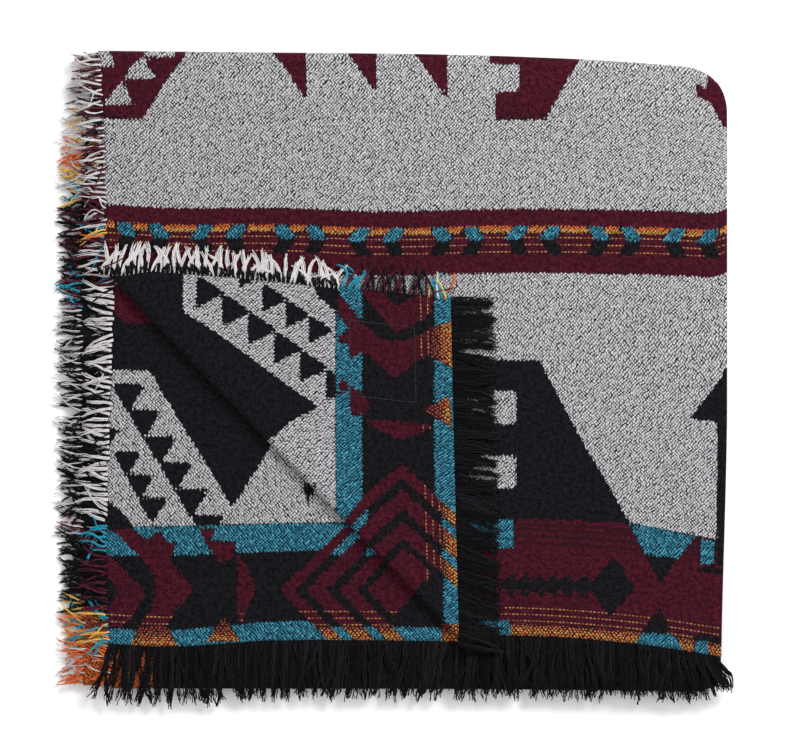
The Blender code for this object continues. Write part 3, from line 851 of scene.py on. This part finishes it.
def thin_lines(places, full, gone, strength):
    """Lines along rows of the cloth, full to one distance from the row and gone at another."""
    lines = None
    for place in places:
        line = ramp((uv_parts["Y"] - place).math("ABSOLUTE"), full, gone, strength, 0.0)
        lines = line if lines is None else lines.math("MAXIMUM", line)
    return lines


# Dotted lines of yellow yarn, and thin dark lines, where burgundy crosses these rows.
DOTS_APART = 0.00395
dots = thin_lines((0.0283, 0.0217, 0.0152, 0.4015, 0.3944, 0.3872), 0.0002, 0.0008, 1.0)
dots *= ramp((uv_parts["X"] / DOTS_APART).math("PINGPONG", 0.5), 0.12, 0.30)
dots *= ramp(blots, 0.40, 0.62, 0.30, 1.0)
dotted = blend(dots, burgundy, rgb(0.45, 0.240, 0.080))
dark_lines = thin_lines((0.1130, 0.1060, 0.0985, 0.1185), 0.0006, 0.0022, 0.7)
dark_lines *= ramp(blots, 0.35, 0.60, 0.4, 1.0)
dotted = blend(dark_lines * sides, dotted, rgb(0.010, 0.006, 0.008))

colour = blend(burgundy_mask, black, dotted)
for mask, yarn in ((grey_mask, grey), (blue_mask, blue), (gold_mask, gold)):
    colour = blend(mask, colour, yarn)
colour.into(surface["Base Color"])
relief = ramp(spots["Reach"], 0.2, 2.0, 1.0, 0.0) * grey_mask.scaled(0.9, 0.1)
relief = fibres.scaled(0.7, relief + float_share * blue_mask)
bump = join(tree, "Bump", {"Height": relief, "Strength": 0.40, "Distance": 0.0007})
bump[0].into(surface["Normal"])
throw.data.materials.clear()
throw.data.materials.append(cloth)
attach(throw, "root")
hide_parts("throw_cloth")

# Fringes. The warp ends are long, black and kinked, and hang from both ends of the cloth. The
# weft ends are short, thick and paired, a pale yarn with a coloured one, along both sides.
FRINGE_SAG = 0.007
FRINGE_SAG_FROM = BOTTOM + 0.006
FRINGE_SAG_REACH = 0.028
SIDE_REST_REACH = 0.014
STRIP_WIDE = 0.0025
YARN_THICK = 0.0016
WHITE = (0.72, 0.69, 0.685)
BURGUNDY = (0.085, 0.012, 0.026)
BLACK = (0.0050, 0.0050, 0.0062)
BLUE = (0.020, 0.330, 0.470)
ORANGE = (0.760, 0.150, 0.035)
YELLOW = (0.800, 0.470, 0.100)

# Yarns along an edge: how far along the stretch ends, and the yarns that take turns on it.
TURNED_EDGE = (
    (0.016, (BLUE, YELLOW, ORANGE, BLUE, WHITE)),
    (0.030, (BLACK, BURGUNDY, YELLOW)),
    (0.092, (BLACK, BURGUNDY, BLACK)),
    (0.118, (BLUE, BLUE, BURGUNDY)),
    (0.150, (WHITE, BLACK)),
    (0.372, (WHITE, BLACK)),
    (0.390, (WHITE, BURGUNDY)),
    (0.400, (BURGUNDY, BLUE, BLACK)),
    (0.413, (ORANGE, YELLOW, YELLOW, BLUE)),
    (0.436, (WHITE, BURGUNDY)),
    (0.505, (WHITE, BURGUNDY, WHITE, BURGUNDY)),
    (0.530, (BLACK, WHITE, BURGUNDY)),
    (0.605, (BURGUNDY, WHITE)),
)
SECOND_EDGE = (
    (0.012, (BLUE, YELLOW, ORANGE)),
    (0.030, (BLUE, YELLOW, BURGUNDY)),
    (0.086, (BURGUNDY, BURGUNDY, BLACK)),
    (0.113, (BLUE, BURGUNDY, BLUE)),
    (0.350, (WHITE, BLACK)),
    (0.440, (WHITE, BURGUNDY)),
    (0.605, (WHITE, BURGUNDY)),
)
# The lower passes, by how far down the pile they lie.
LOWER_EDGE = (
    (110, (BURGUNDY, WHITE)),
    (145, (WHITE, WHITE, YELLOW)),
    (165, (ORANGE, WHITE, ORANGE)),
    (183, (WHITE, YELLOW)),
    (196, (BLUE, WHITE)),
    (202, (YELLOW, BLACK)),
    (272, (BLACK, BLACK, BURGUNDY)),
    (307, (BLUE, BLACK, BURGUNDY)),
    (440, (BLACK, WHITE)),
    (517, (BLACK, WHITE, BLACK)),
    (536, (BURGUNDY, WHITE)),
    (601, (BLACK, BLACK)),
    (612, (YELLOW, BLACK)),
    (642, (BLUE, YELLOW, ORANGE)),
    (720, (ORANGE, WHITE, ORANGE)),
)


def edge_yarns(table, place):
    for end, yarns in table:
        if place <= end:
            return yarns
    return table[-1][1]


def laid(kind, point, across, along, out, off):
    """The same point, sunk to what it lies on once it is past the layers below it."""
    x, y, z = point
    if kind == "near":
        return x, y, z - FRINGE_SAG * smooth((FRINGE_SAG_FROM - y) / FRINGE_SAG_REACH)
    in_lower_bend = SECOND_DONE < along < THIRD_STARTS
    if kind != "first" or along < SECOND_STARTS or in_lower_bend:
        return point
    rest = YARN_THICK / 2
    middle = z - off
    if along < SECOND_DONE:
        rest += (YARN_THICK + AIR / 2) * smooth((TOP_BEND - y) / LIE_DOWN)
        middle = z + off
    drop = max(middle - rest, 0.0) * smooth((out - STRIP_WIDE) / SIDE_REST_REACH)
    return x, y, z - drop


def yarn_point(kind, root, aside, out, off):
    """A point of a yarn that leaves the cloth at one place on an edge."""
    def flat_place(place, away):
        if kind == "first":
            return -away, place
        if kind == "second":
            return WIDTH + away, place
        if kind == "near":
            return place, -away
        return place, LENGTH + away

    across, along = flat_place(root + aside, out)
    root_across, root_along = flat_place(root, 0.0)
    layer = 1 if root_across < HALF_WIDTH else 2
    turned = None
    if layer == 1:
        turned = root_across / CORNER_ALONG_END + root_along / CORNER_ALONG_SIDE < 1.0
    point = folded(across, along, off, turned, layer)
    return uneven(laid(kind, point, across, along, out, off))


def yarn_pattern(name, sides, rings):
    """One straight yarn to copy: a slim prism cut into rings and drawn in to a tip."""
    bpy.ops.object.select_all(action="DESELECT")
    bpy.ops.mesh.primitive_cylinder_add(
        vertices=sides, radius=1.0, depth=1.0, end_fill_type="NGON", location=(0.0, 0.0, 0.5)
    )
    pattern = bpy.context.object
    pattern.name = name
    bpy.ops.object.transform_apply(location=True)
    bpy.ops.object.mode_set(mode="EDIT")
    for i in range(1, rings):
        bpy.ops.mesh.select_all(action="SELECT")
        bpy.ops.mesh.bisect(plane_co=(0.0, 0.0, i / rings), plane_no=(0.0, 0.0, 1.0))
    close_mesh()
    points = np.array([vertex.co for vertex in pattern.data.vertices])
    faces = [tuple(face.vertices) for face in pattern.data.polygons]
    bpy.data.objects.remove(pattern)
    return points, faces


def yarn_piece(name, paths, pattern, material):
    """All the yarns of one fringe in one mesh: each is a copy of the pattern along its path."""
    shape, faces = pattern
    points, tints, maps = [], [], []
    for path, thick, tip, tint in paths:
        path = np.array(path)
        steps = np.linspace(0.0, 1.0, len(path))
        runs = np.gradient(path, axis=0)
        runs /= np.linalg.norm(runs, axis=1)[:, None] + 1e-9
        t = shape[:, 2]
        middle = np.stack([np.interp(t, steps, path[:, k]) for k in range(3)], axis=1)
        run = np.stack([np.interp(t, steps, runs[:, k]) for k in range(3)], axis=1)
        beside = np.cross(run, (0.0, 0.0, 1.0))
        beside /= np.linalg.norm(beside, axis=1)[:, None] + 1e-9
        above = np.cross(beside, run)
        radius = (thick + (tip - thick) * t**2)[:, None]
        points.append(middle + radius * (shape[:, :1] * beside + shape[:, 1:2] * above))
        tints.append(np.tile((*tint, 1.0), (len(t), 1)))
        maps.append(np.stack((np.arctan2(shape[:, 1], shape[:, 0]) / 6.2832, t * 0.03), axis=1))
    points = np.concatenate(points)
    mesh = bpy.data.meshes.new(name)
    every = []
    for i in range(len(paths)):
        start = i * len(shape)
        every += [tuple(start + k for k in face) for face in faces]
    mesh.from_pydata(points.tolist(), [], every)
    note(mesh, "yarn", np.concatenate(tints))
    lay_out(mesh, "twist", np.concatenate(maps))
    mesh.shade_smooth()
    mesh.materials.append(material)
    piece = bpy.data.objects.new(name, mesh)
    bpy.context.scene.collection.objects.link(piece)
    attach(piece, "root")
    return piece


def yarn_material(name, sheen):
    """Wool in the yarn's own tint, with the twist of its plies, and painted shade in the grooves between
    them.
    """
    made, tree, surface = new_material(
        name,
        {"Roughness": 0.9, "Sheen Weight": sheen, "Sheen Roughness": 0.4, "Specular IOR Level": 0.05},
    )
    tint = noted(tree, "yarn")["Color"]
    uv = join(tree, "UVMap", uv_map="twist")[0]
    parts = join(tree, "SeparateXYZ", {0: uv})
    turn = parts["Y"] / 0.0022 + parts["X"] * 2.0
    ply = ramp(turn.math("PINGPONG", 0.5), 0.0, 0.25)
    place = join(tree, "TexCoord")["Object"]
    fuzz = noise(tree, place, 900.0, 2.0)[0]
    # The tone wanders at random with the fuzz, and painted shade darkens it in the grooves between the
    # plies.
    shade = ramp(fuzz, 0.2, 0.8, 0.75, 1.15) * ramp(ply, 0.0, 1.0, 0.72, 1.0)
    blend(shade, rgb(0.0, 0.0, 0.0), tint).into(surface["Base Color"])
    bump = join(tree, "Bump", {"Height": ply, "Strength": 0.5, "Distance": 0.0003})
    bump[0].into(surface["Normal"])
    return made


# How far right yarns reach, and how softly they stop there; how low they lie; and how far a yarn
# may turn from its straight way, in radians.
WIDEST_NEAR, WIDEST_GIVE = 0.337, 0.008
LOWEST_YARN = 0.0006
MOST_TURNED = 1.3


def lock(kind, root, length, chance, lean, curl, lift, steps, offsets, narrow, gather, kink, seat):
    """Paths of a few yarns that leave the cloth side by side and cling together as they wander."""
    root_layer_one = kind == "first" or (kind in ("near", "far") and root < HALF_WIDTH)
    along = root if kind in ("first", "second") else 0.0
    upwards = 1 if root_layer_one else -1
    if FIRST_DONE < along < SECOND_DONE:
        upwards = -upwards
    if root_layer_one and (
        (kind == "first" and root < CORNER_ALONG_SIDE) or (kind == "near" and root < CORNER_ALONG_END)
    ):
        upwards = -upwards
    widest = WIDEST_NEAR if kind == "near" else RIGHT
    heading = lean
    out, aside, rise = -seat, 0.0, 0.0014 if seat > 0.001 else 0.0
    target = chance.uniform(0.0, lift)
    course = [(out, aside, rise)]
    bend = chance.uniform(-curl, curl)
    for i in range(steps):
        bend = 0.6 * bend + chance.uniform(-curl, curl)
        heading = min(max(heading + bend, -MOST_TURNED), MOST_TURNED)
        out += length / steps * math.cos(heading)
        aside += length / steps * math.sin(heading)
        rise += (target * math.sin(math.pi * min((i + 1) / steps * 1.1, 1.0)) - rise) * 0.6
        course.append((out, aside, rise))
    paths = []
    for offset in offsets:
        own = chance.uniform(0.82, 1.04)
        high = chance.uniform(0.0, 0.0007)
        path = []
        for i, (out, aside, rise) in enumerate(course):
            share = i / steps
            beside = offset * (narrow + (1.0 - narrow) * smooth(2.2 * share)) * (1.0 - gather * share)
            if i:
                beside += chance.uniform(-kink, kink)
                rise += high
            away = out * own if out > 0.0 else out
            x, y, z = yarn_point(kind, root, aside * own + beside, away, rise * upwards)
            if x > widest:
                x = widest + WIDEST_GIVE * math.tanh((x - widest) / WIDEST_GIVE)
            path.append((x, y, max(z, LOWEST_YARN)))
        paths.append(path)
    return paths


# Weft fringe of both sides, with the part of the first that is turned back with the corner. Where
# the yarns are pale they stand closer, and the turned ones also reach further.
TURNED_PALE, SECOND_PALE = (0.118, 0.372), (0.113, 0.35)
weft_yarn = yarn_pattern("weft_yarn_pattern", 5, 6)
weft_wool = yarn_material("weft yarn wool", 0.1)
for kind, table, name, node in (
    ("first", TURNED_EDGE, "weft_yarns_first_side", "weft_fringe_first"),
    ("second", SECOND_EDGE, "weft_yarns_second_side", "weft_fringe_second"),
):
    chance = random.Random(kind)
    paths = []
    place = 0.0015
    index = 0
    lean = 0.0
    while place < LENGTH - 0.0015:
        if place > SECOND_STARTS:
            x, y, _ = yarn_point(kind, place, 0.0, 0.0, 0.0)
            yarns = edge_yarns(LOWER_EDGE, MIDDLE_ROW - (y - PICTURE_MIDDLE[1]) * TO_A_METRE)
        else:
            yarns = edge_yarns(table, place)
        tint = yarns[index % len(yarns)]
        on_top = kind == "first" and TURNED_PALE[0] < place < TURNED_PALE[1]
        lean = min(max(lean * 0.7 + chance.uniform(-0.22, 0.22), -0.6), 0.6)
        in_bend = FIRST_DONE < place < SECOND_STARTS or SECOND_DONE < place < THIRD_STARTS
        reach = chance.uniform(0.021, 0.029) * (0.75 if in_bend else 1.0)
        seat = chance.uniform(0.0005, 0.0030)
        curl = 0.45 if tint is BLUE or chance.random() < 0.12 else 0.15
        number, apart, narrow, thick = 3, 0.00068, 0.4, 0.00052
        if place < FIRST_DONE:
            reach += 0.005
        elif tint is WHITE:
            number, reach, thick = 2, reach + 0.003, 0.00044
        elif tint is BLACK:
            number, reach = 4, reach - 0.002
        if on_top and tint is WHITE:
            number, apart, narrow, thick = 6, 0.00070, 0.15, 0.00060
            reach, seat, lean = chance.uniform(0.0275, 0.0335), 0.0030, 0.5 * lean - 0.08
        elif on_top:
            number, apart, narrow, thick = 5, 0.00085, 0.9, 0.00060
            reach, seat = chance.uniform(0.0095, 0.0135), 0.0030
        elif kind == "second" and SECOND_PALE[0] < place < SECOND_PALE[1]:
            number, apart, thick = (5, 0.00068, 0.00046) if tint is WHITE else (3, 0.00068, 0.00050)
            narrow = 0.8
        offsets = [(k - (number - 1) / 2) * apart for k in range(number)]
        lift = 0.0032
        if on_top:
            lift = 0.0014 if tint is WHITE else 0.0050
        at_root = (kind, place, reach, chance, lean, curl, lift)
        for path in lock(*at_root, 7, offsets, narrow, 0.2, 0.0008, seat):
            shade = chance.uniform(0.80, 1.10)
            own = thick * chance.uniform(0.82, 1.18)
            paths.append((path, own, own * 0.6, [c * shade for c in tint]))
        place += chance.uniform(0.0020, 0.0027) if on_top else chance.uniform(0.0022, 0.0031)
        index += 1
    piece = yarn_piece(name, paths, weft_yarn, weft_wool)
    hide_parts(node)

# Warp fringe at the near end: fine black yarns, combed out, that cling together in locks and
# spread at both corners.
warp_yarn = yarn_pattern("warp_yarn_pattern", 3, 12)
warp_wool = yarn_material("warp yarn wool", 0.03)
for kind, node, name, length, steps in (
    ("near", "warp_fringe_near", "warp_yarns_near_end", 0.0605, 12),
    ("far", "warp_fringe_far", "warp_yarns_far_end", 0.044, 6),
):
    chance = random.Random(kind)
    paths = []
    place = 0.0020
    lean = 0.0
    while place < WIDTH - 0.0010:
        on_corner = kind == "near" and place < CORNER_ALONG_END
        spacing = 0.00036 if on_corner else 0.00052
        if HALF_WIDTH < place < HALF_WIDTH + 0.250:
            spacing = 0.00090
        if kind == "far":
            spacing = 0.0036
        number = chance.choice((5, 6, 7, 8, 9)) if kind == "near" else 1
        lean = lean * 0.85 + chance.uniform(-0.06, 0.06)
        over = place if place < HALF_WIDTH else WIDTH - place
        spread = 0.42 * smooth((over - 0.57) / 0.05) - 0.16 * (1.0 - smooth(over / 0.05))
        if place > HALF_WIDTH:
            spread = -spread
        reach = length * chance.uniform(0.95, 1.05)
        if on_corner:
            spread = 0.34 * smooth((place - 0.06) / 0.30) - 0.20 * (1.0 - smooth(place / 0.06))
            reach *= 0.79
        if abs(place - HALF_WIDTH) > FOLD_QUARTER + number * spacing / 2:
            apart = spacing * (1.5 if on_corner else 1.0)
            offsets = [(k - (number - 1) / 2) * apart for k in range(number)]
            gather = chance.uniform(-0.6, 0.3)
            curl = 0.055 if on_corner else 0.06
            at_root = (kind, place, reach, chance, lean + spread, curl, 0.0022)
            for path in lock(*at_root, steps, offsets, 0.8, gather, 0.0012, 0.001):
                # Each yarn gets a tone at random; the brightest (1.8 and 3.5 times) are painted
                # highlights on single strands.
                shade = chance.choice((0.5, 0.7, 0.8, 1.0, 1.8, 3.5))
                thick = chance.uniform(0.00050, 0.00078)
                paths.append((path, thick, 0.00052, [c * shade for c in BLACK]))
        place += spacing * number
    piece = yarn_piece(name, paths, warp_yarn, warp_wool)
    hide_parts(node)

# Stitching near the corner: a rectangle of dark machine stitches that shows on the reverse.
STITCHED = ((0.034, 0.039), (0.111, 0.039), (0.111, 0.108), (0.034, 0.108))
STITCH_LONG = 0.0034
# One stitch: distance along it, half width, and height; then its faces, by their corners.
STITCH_RINGS = ((0.0, 0.0002, 0.0), (0.3, 0.0005, 0.0003), (0.7, 0.0005, 0.0003), (1.0, 0.0002, 0.0))
STITCH_SIDES = ((0, 2, 6, 4), (1, 5, 7, 3), (0, 4, 5, 1), (2, 3, 7, 6))
STITCH_ENDS = ((0, 1, 3, 2), (12, 14, 15, 13))
stitch_points = []
stitch_faces = []
for (au, av), (bu, bv) in zip(STITCHED, STITCHED[1:] + STITCHED[:1]):
    size = math.hypot(bu - au, bv - av)
    run = ((bu - au) / size, (bv - av) / size)
    number = round(size / STITCH_LONG)
    for i in range(number):
        start, end = (i + 0.08) * size / number, (i + 0.92) * size / number
        first = len(stitch_points)
        for t, half, off in STITCH_RINGS:
            s = start + (end - start) * t
            for side in (-1, 1):
                u = au + run[0] * s - run[1] * half * side
                v = av + run[1] * s + run[0] * half * side
                stitch_points.append(uneven(folded(u, v, -SHEET / 2 - off)))
                stitch_points.append(uneven(folded(u, v, -SHEET / 2 + 0.0003)))
        for a in (first, first + 4, first + 8):
            stitch_faces += [tuple(a + corner for corner in face) for face in STITCH_SIDES]
        stitch_faces += [tuple(first + corner for corner in face) for face in STITCH_ENDS]
stitch_mesh = bpy.data.meshes.new("corner_stitches")
stitch_mesh.from_pydata(stitch_points, [], stitch_faces)
stitch_shape = bmesh.new()
stitch_shape.from_mesh(stitch_mesh)
bmesh.ops.recalc_face_normals(stitch_shape, faces=stitch_shape.faces[:])
stitch_shape.to_mesh(stitch_mesh)
stitch_shape.free()
stitch_mesh.shade_smooth()
stitches = bpy.data.objects.new("corner_stitches", stitch_mesh)
bpy.context.scene.collection.objects.link(stitches)
thread, tree, surface = new_material("stitching thread", {"Roughness": 0.6})
place = join(tree, "TexCoord")["Object"]
ply = noise(tree, place, 1500.0, 2.0)[0]
blend(ply, rgb(0.002, 0.002, 0.0025), rgb(0.006, 0.005, 0.006)).into(surface["Base Color"])
stitch_mesh.materials.append(thread)
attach(stitches, "root")

# Floor, pale and plain, and the light: a bright even room, and a broad soft lamp beyond the far
# right corner.
LAMP_PLACE, LAMP_TURN, LAMP_SIZE, LAMP_WATTS = (1.5, 1.7, 1.9), (-38, 34, 0), 1.1, 75.0
ROOM_BRIGHTNESS = 0.80
bpy.ops.mesh.primitive_plane_add(size=8.0, location=(0.0, 0.0, 0.0))
floor = bpy.context.object
floor.name = "floor"
floor_look = {"Base Color": rgb(0.96, 0.96, 0.96), "Roughness": 0.8}
floor.data.materials.append(new_material("floor paint", floor_look)[0])

world = bpy.data.worlds.new("room")
bpy.context.scene.world = world
world.use_nodes = True
background = world.node_tree.nodes["Background"].inputs
background[0].default_value = rgb(1.0, 1.0, 1.0)
background[1].default_value = ROOM_BRIGHTNESS
bpy.ops.object.light_add(type="AREA", location=LAMP_PLACE)
lamp = bpy.context.object
lamp.data.shape = "RECTANGLE"
lamp.data.size = LAMP_SIZE
lamp.data.size_y = LAMP_SIZE
lamp.data.energy = LAMP_WATTS
lamp.rotation_euler = [math.radians(turn) for turn in LAMP_TURN]
bpy.context.scene.view_settings.view_transform = "Standard"
